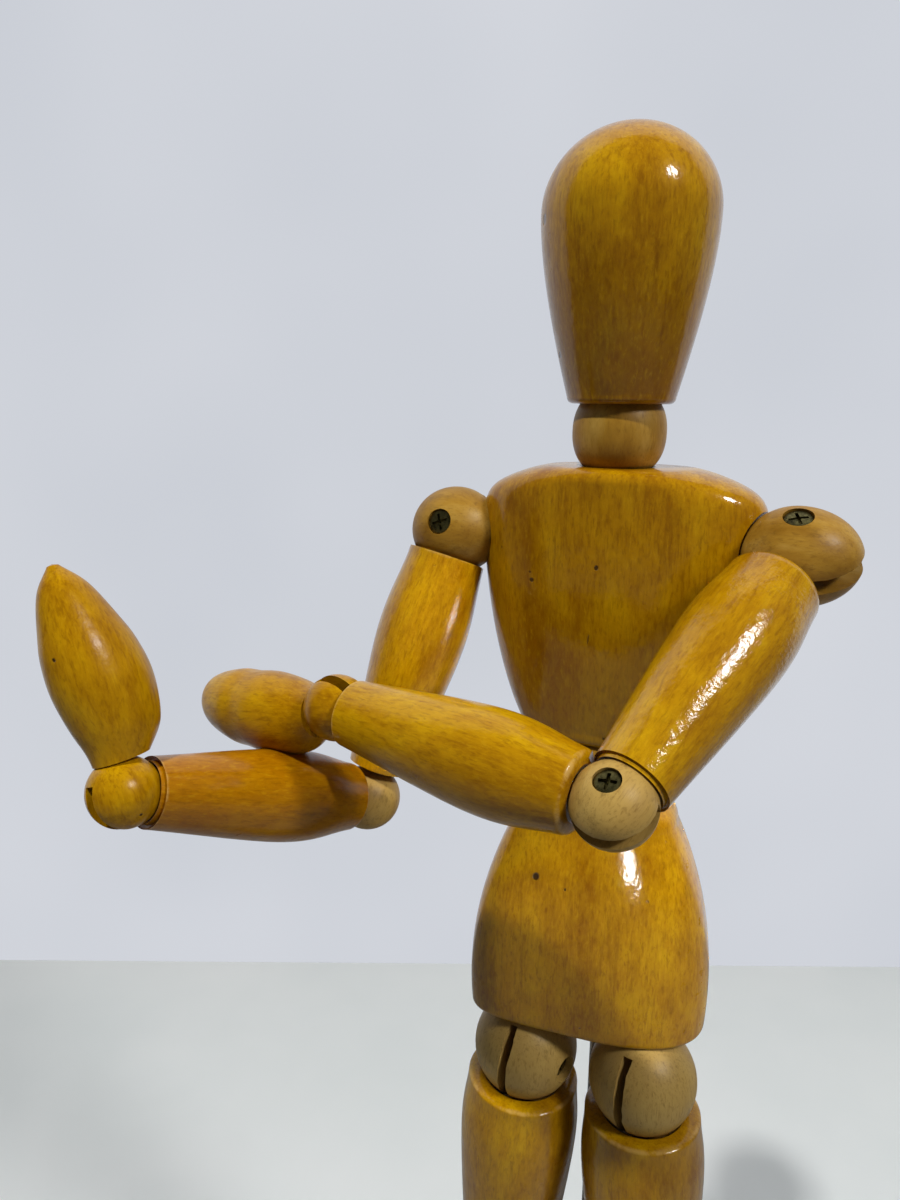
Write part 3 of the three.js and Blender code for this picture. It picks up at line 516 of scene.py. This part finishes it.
# Trunk and head
def build_trunk():
    waist, neck = pos("waist_bow"), pos("neck_bow")
    turned = axis("waist_bow")
    pelvis_at = axes(waist, UP, Vector((1, 0, 0)))
    chest_at = axes(waist, UP, turned)
    neck_at = axes(neck, UP, axis("neck_bow"))

    p, top = PELVIS, -WAIST_GAP / 2
    bottom = top - p["height"]
    flank = bezier([(p["top"], top - p["shoulder"]), (p["bulge"] * p["half"], top - p["height"] / 2),
                    (p["half"], bottom + p["edge"])], 40)
    profile = [(0, top), (p["top"] * 0.3, top), (p["top"] * 0.6, top),
               *arc(p["top"] - p["shoulder"], top - p["shoulder"], p["shoulder"], 90, 0, 10), *flank[1:],
               *arc(p["half"] - p["edge"], bottom + p["edge"], p["edge"], 0, -90, 10)[1:],
               (p["half"] * 0.6, bottom), (p["half"] * 0.3, bottom), (0, bottom)]
    shapes = {corner: block_shape(1, square) for corner, square in p["square"].items()}

    def pelvis_shape(x, y, z):
        """Flat in front, with a rounder corner on the left, and rounder above."""
        corner = "back" if y > 0 else "left" if x > 0 else "right"
        x, y, z = shapes[corner](x, y, z)
        share = (z - bottom) / p["height"]
        return (x, y * (p["depth"] * (1 - share) + p["top_depth"] * share), z)

    moved = Matrix.Translation((p["shift"][0] * MM, p["shift"][1] * MM, 0))
    moved = moved @ Matrix.Rotation(math.radians(p["turn"]), 4, "Z")
    pelvis = revolve("pelvis_wood", profile, pelvis_at @ moved, 192, pelvis_shape)
    cut(pelvis, ball("cut", WAIST_RADIUS + SEAT_GAP, WAIST_RADIUS + SEAT_GAP, pelvis_at))
    for side in SIGN:
        place = axes(pos("hip_hinge_" + side), UP, axis("hip_hinge_" + side))
        cut(pelvis, ball("cut", HIP_RADIUS + SEAT_GAP, HIP_RADIUS + SEAT_GAP, place))
    hole = [(0, -1), (ROD["hole"], -1), (ROD["hole"], ROD["pelvis_depth"]), (0, ROD["pelvis_depth"])]
    cut(pelvis, revolve("cut", hole, Matrix.Translation((0, 0, waist.z + bottom * MM)), 32))
    varnish = varnished("varnish_pelvis", SEEDS["pelvis"], 0.3, marks=PELVIS_MARKS)
    dress(pelvis, varnish, "pelvis", "varnished_wood", "pelvis")

    c, bottom = CHEST, WAIST_GAP / 2
    top = bottom + c["height"]
    widest = top - c["drop"]
    slope = ((0.25, 0.075), (0.58, 0.225), (0.82, 0.4), (0.95, 0.63))
    slope = [(c["top"] + (c["half"] - c["top"]) * w, top - c["drop"] * h) for w, h in slope]
    shoulder = spline([(c["top"], top), *slope, (c["half"], widest)], 6)
    flank = bezier([(c["half"], widest), (c["half"] - 0.4, widest - c["height"] / 3),
                    (1.2 * c["waist"], bottom + c["height"] / 6), (c["waist"], bottom + c["edge"])], 40)
    profile = [(0, bottom), (c["waist"] * 0.4, bottom),
               *arc(c["waist"] - c["edge"], bottom + c["edge"], c["edge"], -90, 0, 8)[:-1],
               *flank[::-1], *shoulder[::-1][1:], (c["top"] * 0.5, top), (0, top)]
    flat = block_shape(c["depth"], c["square"])

    def chest_shape(x, y, z):
        """The front and back stay full up to a small rounded edge under the top."""
        x, y, z = flat(x, y, z)
        rise = min(max((z - bottom) / (0.7 * c["height"]), 0), 1)
        x += c["lean"] * rise * rise * (3 - 2 * rise)
        wide = [w for w, h in shoulder if h <= z]
        if z <= widest or not wide:
            return (x, y, z)
        rounding = max(0, (z - top + c["front_edge"]) / c["front_edge"])
        depth = c["half"] * c["depth"] - c["front_edge"] * (1 - math.sqrt(max(0, 1 - rounding ** 2)))
        return (x, y * depth / (c["depth"] * max(wide[0], c["top"])), z)

    chest = revolve("chest_wood", profile, chest_at, 144, chest_shape)
    cut(chest, ball("cut", WAIST_RADIUS + SEAT_GAP, WAIST_RADIUS + SEAT_GAP, chest_at),
        ball("cut", NECK_RADIUS + 2 * SEAT_GAP, NECK_RADIUS + 2 * SEAT_GAP, neck_at))
    for side in SIGN:
        place = axes(pos("shoulder_hinge_" + side), turned, UP)
        sunk = SEAT_GAP + SHOULDER["sunk"][side]
        cut(chest, ball("cut", SHOULDER["radius"] + SEAT_GAP, SHOULDER["reach"] + sunk, place))
    # The chest's lower part is darkened as painted shade
    varnish = varnished("varnish_chest", SEEDS["chest"], 0.3, painted_low_shade=(8, 50, 0.3), marks=CHEST_MARKS)
    dress(chest, varnish, "chest", "varnished_wood", "chest")

    h, bottom = HEAD, HEAD["above_neck"]
    widest = bottom + h["height"] - h["crown"]
    dish = NECK_RADIUS + SEAT_GAP
    cheek = bezier([(h["rim"], bottom + h["edge"]), (1.22 * h["rim"], bottom + h["height"] / 5),
                    (h["radius"], widest - h["height"] / 5), (h["radius"], widest)], 40)
    crown = [(h["radius"] * math.cos(math.radians(a)), widest + h["crown"] * math.sin(math.radians(a)))
             for a in range(3, 91, 3)]
    rim = arc(h["rim"] - h["edge"], bottom + h["edge"], h["edge"], -90, 0, 8)
    profile = [*arc(0, 0, dish, 90, math.degrees(math.asin(bottom / dish)), 12), *rim[:-1], *cheek, *crown]
    head = revolve("head_wood", profile, neck_at, 128)
    # The head's lower part is darkened as painted shade
    varnish = varnished("varnish_head", SEEDS["head"], 0.35, 0.6, painted_low_shade=(6, 36, 0.6), marks=HEAD_MARKS,
                        specks=0)
    dress(head, varnish, "head", "varnished_wood", "head")

    for name, radius, place, full in (
        ("neck", NECK_RADIUS, neck_at, 2.3),
        ("waist", WAIST_RADIUS, chest_at, 2),
    ):
        piece = ball(name + "_round", radius, radius, place, full=full)
        centre = (0, 0, SLOT_RISE["trunk"] - radius)
        cut(piece, ragged_box("cut", (TRUNK_SLOT, 1.4 * radius, 2 * radius), centre, place))
        dress(piece, raw("raw_" + name, SEEDS[name], 0.25), name + "_ball", "raw_wood", name + "_ball")


# Screws
def screw(name, place, head, top, side):
    """Countersunk screw with a cross in its head, along local X towards the given side."""
    turn = place @ Matrix.Rotation(math.radians(90 * side), 4, "Y")
    profile = [(0, -top + 0.4), (head * 0.5, -top + 0.4), (head * 0.5, top - 1.8), (head - 0.15, top - 0.55),
               *arc(head - 0.25, top - 0.35, 0.25, 0, 70, 4), (head * 0.5, top - 0.04), (0, top)]
    piece = revolve(name, profile, turn, 40)
    for angle in (20, 110):
        blade_at = turn @ Matrix.Rotation(math.radians(angle), 4, "Z")
        cut(piece, ragged_box("cut", (1.35 * head, 0.55, 1.6), (0, 0, top), blade_at))
    pit = [(0, top - 1.1), (0.55, top - 0.5), (0.75, top + 0.5), (0, top + 0.5)]
    cut(piece, revolve("cut", pit, turn, 4))
    return piece


def screw_cutter(place, head, top, side, radius):
    """Seat for a screw and the way in to it from outside the ball."""
    turn = place @ Matrix.Rotation(math.radians(90 * side), 4, "Y")
    profile = [(0, top - 2.2), (head + 0.1, top - 2.2), (head + 0.1, top), (head + 0.3, 2 * radius),
               (0, 2 * radius)]
    return revolve("cut", profile, turn, 40)


def joint_ball(name, place, radius, reach, slot, rise, bolt, side, seed, front=None, rough=0.12, dirt=0.4,
               light=0.0, tip=None, turn=0.0, flare=0.0):
    """Raw ball with its saw cut and its screw, in a frame whose Z is the peg and X the screw."""
    head, recess = bolt
    piece = ball(name.replace("_ball_", "_round_"), radius, reach, place, tip=tip)
    top = math.sqrt(radius ** 2 - head ** 2) - recess
    height = rise + 2 * reach
    size, centre = (slot, 2.6 * radius, height), (0, 0, rise - height / 2)
    step = (-3.2, front - rise) if front else None
    cut(piece, ragged_box("cut", size, centre, place, rough, seed, 24, step, flare))
    screw_at = place @ Matrix.Rotation(math.radians(turn), 4, "Z")
    cut(piece, screw_cutter(screw_at, head, top, side, radius))
    dress(piece, raw("raw_" + name, seed, dirt, light), name, "raw_wood", name)
    screw_name = name.replace("_ball_", "_screw_")
    dress(screw(screw_name + "_head", screw_at, head, top, side), BRASS, name, "screw_brass", screw_name)


def about(joint, degrees):
    """Matrix of a turn about a joint's axis."""
    centre = Matrix.Translation(pos(joint))
    return centre @ Matrix.Rotation(math.radians(degrees), 4, axis(joint)) @ centre.inverted()


def swung(piece, joint, degrees):
    """A slightly fuller copy of a piece, turned about a joint, to cut room with."""
    old = bpy.data.objects[piece]
    mesh = old.data.copy()
    for vertex, normal in zip(mesh.vertices, [v.normal.copy() for v in mesh.vertices]):
        vertex.co += normal * ROOM * MM
    obj = bpy.data.objects.new("cut", mesh)
    bpy.context.scene.collection.objects.link(obj)
    obj.matrix_world = about(joint, degrees) @ old.matrix_world
    return obj


def arm_end(kind, length, place):
    """Plain cone round the lower half of a limb, to cut room with."""
    s = LIMBS[kind]
    end_radius, end_rim = s["end"][1:3]
    low, high = end_rim - ROOM - length, -s["at"] * length
    return revolve("cut", [(0, low), (end_radius + ROOM, low), (s["belly"], high), (0, high)], place, 64)


def limb(name, kind, place, length, body, material, room=()):
    """Turned limb hollowed at both ends for its balls; room is what else is cut out of it."""
    s = LIMBS[kind]
    (dish, radius, rim, lip), (end_dish, end_radius, end_rim, end_lip) = s["top"], s["end"]
    mouth = math.sqrt(dish ** 2 - rim ** 2)
    end_mouth = math.sqrt(end_dish ** 2 - end_rim ** 2)
    top_angle = math.degrees(math.asin(rim / dish))
    end_angle = math.degrees(math.asin(end_rim / end_dish))
    start, stop = -rim - lip, end_rim + end_lip - length
    flesh = spline([(radius, start), (s["belly"], -s["at"] * length), (end_radius, stop)], 28)
    profile = [*arc(0, 0, dish, -90, -top_angle, 16),
               *arc(mouth + 0.2, start, radius - mouth - 0.2, 90, 0, 9, lip)[:-1],
               *flesh,
               *arc(end_mouth + 0.2, stop, end_radius - end_mouth - 0.2, 0, 90, 9, end_lip)[1:],
               *arc(0, -length, end_dish, end_angle, 90, 16)]
    piece = revolve(name, profile, place, 96)
    cut(piece, *room)
    rims = ((-rim, radius), (end_rim - length, end_radius))

    def worn(x, y, z):
        out = math.hypot(x, y)
        return s["wear"] * max(max(0, 1 - math.hypot(z - h, min(out - r, 0)) / 1.5) for h, r in rims)

    dress(piece, material, body, "varnished_wood", body, worn=worn)


def build_arm(side):
    sign, s = SIGN[side], SHOULDER
    shoulder, elbow, wrist = (pos(name + "_hinge_" + side) for name in ("shoulder", "elbow", "wrist"))
    shoulder_axis, elbow_axis = axis("shoulder_hinge_" + side), axis("elbow_hinge_" + side)
    inward = axis("waist_bow") * -sign
    shoulder = shoulder + inward * s["sunk"][side] * MM
    at = axes(shoulder, inward, shoulder_axis) @ Matrix.Rotation(math.radians(s["turn"][side]), 4, "Z")
    joint_ball("shoulder_ball_" + side, at, s["radius"], s["reach"], s["slot"][side], SLOT_RISE["shoulder"],
               SCREWS["shoulder"], sign, SEEDS["shoulder"] + sign, tip=s["tip"][side], flare=s["flare"])
    arm_at, arm = axes(shoulder, shoulder - elbow, shoulder_axis), (shoulder - elbow).length / MM
    limb("upper_arm_wood_" + side, "upper_arm_" + side, arm_at, arm, "upper_arm_" + side,
         varnished("varnish_upper_arm_" + side, SEEDS["upper_arm"] + sign, peel=0.1, coat=(1, 0.08)),
         [swung("chest_wood", "shoulder_hinge_" + side, REACH["shoulder"][side])])
    at = axes(elbow, shoulder - elbow, elbow_axis)
    joint_ball("elbow_ball_" + side, at, ELBOW_RADIUS, ELBOW_RADIUS, ARM_SLOT, SLOT_RISE["arm"],
               SCREWS["elbow"], sign, SEEDS["elbow"] + sign, dirt=0.6, light=0.4, flare=ELBOW_FLARE)
    warm = 0 if side == "left" else 0.45
    at = axes(elbow, elbow - wrist, elbow_axis)
    limb("forearm_wood_" + side, "forearm", at, (elbow - wrist).length / MM, "forearm_" + side,
         varnished("varnish_forearm_" + side, SEEDS["forearm"] + sign, warm=warm, coat=(0.6, 0.18)),
         [arm_end("upper_arm_" + side, arm, about("elbow_hinge_" + side, REACH["elbow"][side]) @ arm_at)])
    build_hand(side, wrist)


def build_hand(side, wrist):
    h, body = HAND, "hand_" + side
    tip = max((v.co for v in frame["nodes"][body].data.vertices), key=lambda co: (co - wrist).length)
    place = axes(wrist, wrist - tip, axis("wrist_hinge_" + side))
    length, radius = h["length"], h["radius"]
    near, far = h["tip"][side]
    line = spline([(0.9, -length + 0.25), (near * radius, -0.89 * length), (far * radius, -0.72 * length),
                   (0.95 * radius, -0.6 * length), (radius, -0.45 * length), (0.86 * radius, -0.27 * length),
                   (h["neck"], -h["neck_at"])], 10)

    def shape(x, y, z):
        along = min(max(-z / length, 0), 1)
        root = min(along / 0.25, 1)
        bend = h["bend"] * math.sin(math.pi * math.sqrt(along)) * root * root * (3 - 2 * root)
        return (x * h["flat"], y + bend, z)

    piece = revolve(body + "_wood", [(0, -length), *line, (0, -h["neck_at"])], place, 80, shape)
    combine(piece, "UNION", ball("wrist", WRIST_RADIUS, WRIST_RADIUS, place))
    rise = 2 * WRIST_RADIUS
    size, centre = (ARM_SLOT, 4 * WRIST_RADIUS, rise), (0, 0, rise / 2 - SLOT_RISE["arm"])
    cut(piece, ragged_box("cut", size, centre, place, 0.06, SEEDS["wrist_slot"]))
    varnish = varnished("varnish_hand_" + side, SEEDS["hand"] - SIGN[side], 0.3, 0.4, coat=(0.4, 0.26))
    dress(piece, varnish, body, "varnished_wood", body)


def build_leg(side):
    sign = SIGN[side]
    hip, knee, ankle = (pos(name + "_hinge_" + side) for name in ("hip", "knee", "ankle"))
    at = axes(hip, hip - knee, axis("hip_hinge_" + side))
    joint_ball("hip_ball_" + side, at, HIP_RADIUS, HIP_RADIUS, HIP["slot"], SLOT_RISE["leg"],
               SCREWS["hip"], -sign, SEEDS["hip"] + sign, front=HIP["front"], rough=HIP["rough"], light=0.5,
               turn=HIP["screw_turn"] * sign)
    limb("thigh_wood_" + side, "thigh", at, (hip - knee).length / MM, "thigh_" + side,
         varnished("varnish_thigh_" + side, SEEDS["thigh"] + sign))
    at = axes(knee, hip - knee, axis("knee_hinge_" + side))
    joint_ball("knee_ball_" + side, at, KNEE_RADIUS, KNEE_RADIUS, LEG_SLOT, SLOT_RISE["leg"],
               SCREWS["knee"], sign, SEEDS["knee"] + sign)
    limb("shin_wood_" + side, "shin", at, (knee - ankle).length / MM, "shin_" + side,
         varnished("varnish_shin_" + side, SEEDS["shin"] + sign))
    build_foot(side, axes(ankle, knee - ankle, axis("ankle_hinge_" + side)))


def build_foot(side, place):
    f, body = FOOT, "foot_" + side
    radius, heel, length = f["radius"], f["heel"], f["length"]
    line = spline([(0.4, heel), (0.8 * radius, 0.6 * heel), (radius, heel - 0.5 * length),
                   (0.72 * radius, heel - 0.85 * length), (0.4, heel - length)], 16)

    def shape(x, y, z):
        return (x, z, max(y - f["drop"], -f["ankle"]))

    piece = revolve(body + "_wood", [(0, heel), *line, (0, heel - length)], place, 80, shape)
    combine(piece, "UNION", ball("ankle", ANKLE_RADIUS, ANKLE_RADIUS, place))
    rise = 2 * ANKLE_RADIUS
    size, centre = (LEG_SLOT, 4 * ANKLE_RADIUS, rise), (0, 0, rise / 2 - SLOT_RISE["leg"])
    cut(piece, ragged_box("cut", size, centre, place, 0.06, SEEDS["ankle_slot"]))
    varnish = varnished("varnish_foot_" + side, SEEDS["foot"] - SIGN[side])
    dress(piece, varnish, body, "varnished_wood", body)


def build_hardware():
    """The links and pins keep their solids and get plain steel."""
    for name, obj in frame["nodes"].items():
        if "_link" in name or "_pin" in name:
            obj.material_slots[0].material = STEEL


# Stage
def floor_material():
    """White table top that throws less light back on the wood than it shows to the eye."""
    n = Nodes("floor_white")
    soft = n.noise(n.scaled(per_mm(120)), detail=3)
    pale = n.ramp(soft, [(0.3, srgb(228, 232, 229)), (0.7, srgb(237, 239, 236))])
    ray = n.tree.nodes.new("ShaderNodeLightPath").outputs
    bounced = n.math("MAXIMUM", ray["Is Diffuse Ray"], ray["Is Glossy Ray"])
    n.link(n.mix(n.math("MULTIPLY", bounced, 0.7), pale, srgb(80, 80, 78)), n.shader.inputs["Base Color"])
    n.shader.inputs["Roughness"].default_value = 0.5
    return n.material


def wall_material():
    """Pale wall that shows its own colour to the eye and in gloss, and nothing from behind."""
    n = Nodes("wall_pale")
    new = n.tree.nodes.new
    soft = n.noise(n.scaled(per_mm(260)), detail=2)
    colour = n.ramp(soft, [(0.3, srgb(201, 205, 213)), (0.7, srgb(211, 214, 221))])
    n.link(colour, n.shader.inputs["Base Color"])
    n.shader.inputs["Roughness"].default_value = 0.9
    glow, clear, back, ray = (new("ShaderNode" + kind)
                              for kind in ("Emission", "BsdfTransparent", "NewGeometry", "LightPath"))
    n.link(colour, glow.inputs["Color"])
    shown = n.math("MAXIMUM", ray.outputs["Is Camera Ray"], ray.outputs["Is Glossy Ray"])
    last = n.shader.outputs["BSDF"]
    for share, over in (
        (shown, glow.outputs["Emission"]),
        (back.outputs["Backfacing"], clear.outputs["BSDF"]),
    ):
        both = new("ShaderNodeMixShader")
        n.link(share, both.inputs["Fac"])
        n.link(last, both.inputs[1])
        n.link(over, both.inputs[2])
        last = both.outputs["Shader"]
    n.link(last, n.tree.nodes["Material Output"].inputs["Surface"])
    return n.material


CAMERA_AZIMUTH, CAMERA_PITCH, CAMERA_ROLL = 21.95, 13.15, 0.45
CAMERA_FROM_NECK = Vector((32.18, -163.05, 5.96)) * MM
FOCAL_PIXELS, IMAGE_HEIGHT = 865.65, 1200
WALL_DISTANCE = 0.463
LAMP_DISTANCE = 1.1
# Two lamps show in gloss only, on one piece each, and place the highlights seen there
LAMPS = (
    dict(name="key", azimuth=71, elevation=43, size=0.18, power=5.6),
    dict(name="high", azimuth=-14, elevation=66, size=0.045, power=8.4, glossy=False),
    dict(name="low", azimuth=24, elevation=-3, size=0.2, power=7.0, diffuse=False, on=("pelvis_wood",)),
    dict(name="side", azimuth=86, elevation=-3, size=0.12, power=2.5, diffuse=False,
         on=("upper_arm_wood_right",)),
)


def build_stage():
    a, p, r = (math.radians(v) for v in (CAMERA_AZIMUTH, CAMERA_PITCH, CAMERA_ROLL))
    forward = Vector((-math.sin(a) * math.cos(p), math.cos(a) * math.cos(p), -math.sin(p)))
    right = Vector((math.cos(a), math.sin(a), 0))
    up = right.cross(forward)
    tilted = right * math.cos(r) + up * math.sin(r)
    cam = bpy.data.cameras.new("camera")
    cam.sensor_width = 36
    cam.lens = FOCAL_PIXELS * cam.sensor_width / IMAGE_HEIGHT
    cam.clip_start = 0.005
    obj = bpy.data.objects.new("camera", cam)
    bpy.context.scene.collection.objects.link(obj)
    obj.matrix_world = axes(pos("neck_bow") + CAMERA_FROM_NECK, -forward, tilted)
    bpy.context.scene.camera = obj

    eye = obj.matrix_world.translation
    away = Vector((-math.sin(a), math.cos(a), 0))
    foot = Vector((eye.x, eye.y, 0)) + away * WALL_DISTANCE
    floor = [foot + right * x - away * y for x, y in ((-2, 2), (2, 2), (2, 0), (-2, 0))]
    wall = [foot + right * x + UP * z for x, z in ((-2, 0), (2, 0), (2, 2), (-2, 2))]
    for name, corners, material in (
        ("floor", floor, floor_material()),
        ("wall", wall, wall_material()),
    ):
        mesh = bpy.data.meshes.new(name)
        mesh.from_pydata(corners, [], [(0, 1, 2, 3)])
        mesh.materials.append(material)
        piece = bpy.data.objects.new(name, mesh)
        bpy.context.scene.collection.objects.link(piece)

    centre = pos("waist_bow")
    for row in LAMPS:
        lamp = bpy.data.lights.new(row["name"], "AREA")
        lamp.size = row["size"]
        lamp.energy = row["power"]
        obj = bpy.data.objects.new(row["name"], lamp)
        obj.visible_glossy = row.get("glossy", True)
        obj.visible_diffuse = row.get("diffuse", True)
        bpy.context.scene.collection.objects.link(obj)
        turn, rise = math.radians(row["azimuth"]), math.radians(row["elevation"])
        way = Vector((math.sin(turn) * math.cos(rise), -math.cos(turn) * math.cos(rise), math.sin(rise)))
        obj.matrix_world = axes(centre + way * LAMP_DISTANCE, way, Vector((1, 0.2, 0)))
        if "on" in row:
            lit = bpy.data.collections.new(row["name"])
            for piece in row["on"]:
                lit.objects.link(bpy.data.objects[piece])
            obj.light_linking.receiver_collection = lit

    world = bpy.data.worlds.new("studio")
    bpy.context.scene.world = world
    world.use_nodes = True
    world.node_tree.nodes["Background"].inputs["Color"].default_value = srgb(226, 231, 240)
    world.node_tree.nodes["Background"].inputs["Strength"].default_value = 0.1
    bpy.context.scene.view_settings.view_transform = "Standard"


build_stand()
build_trunk()
for side_name in SIGN:
    build_arm(side_name)
    build_leg(side_name)
build_hardware()
build_stage()
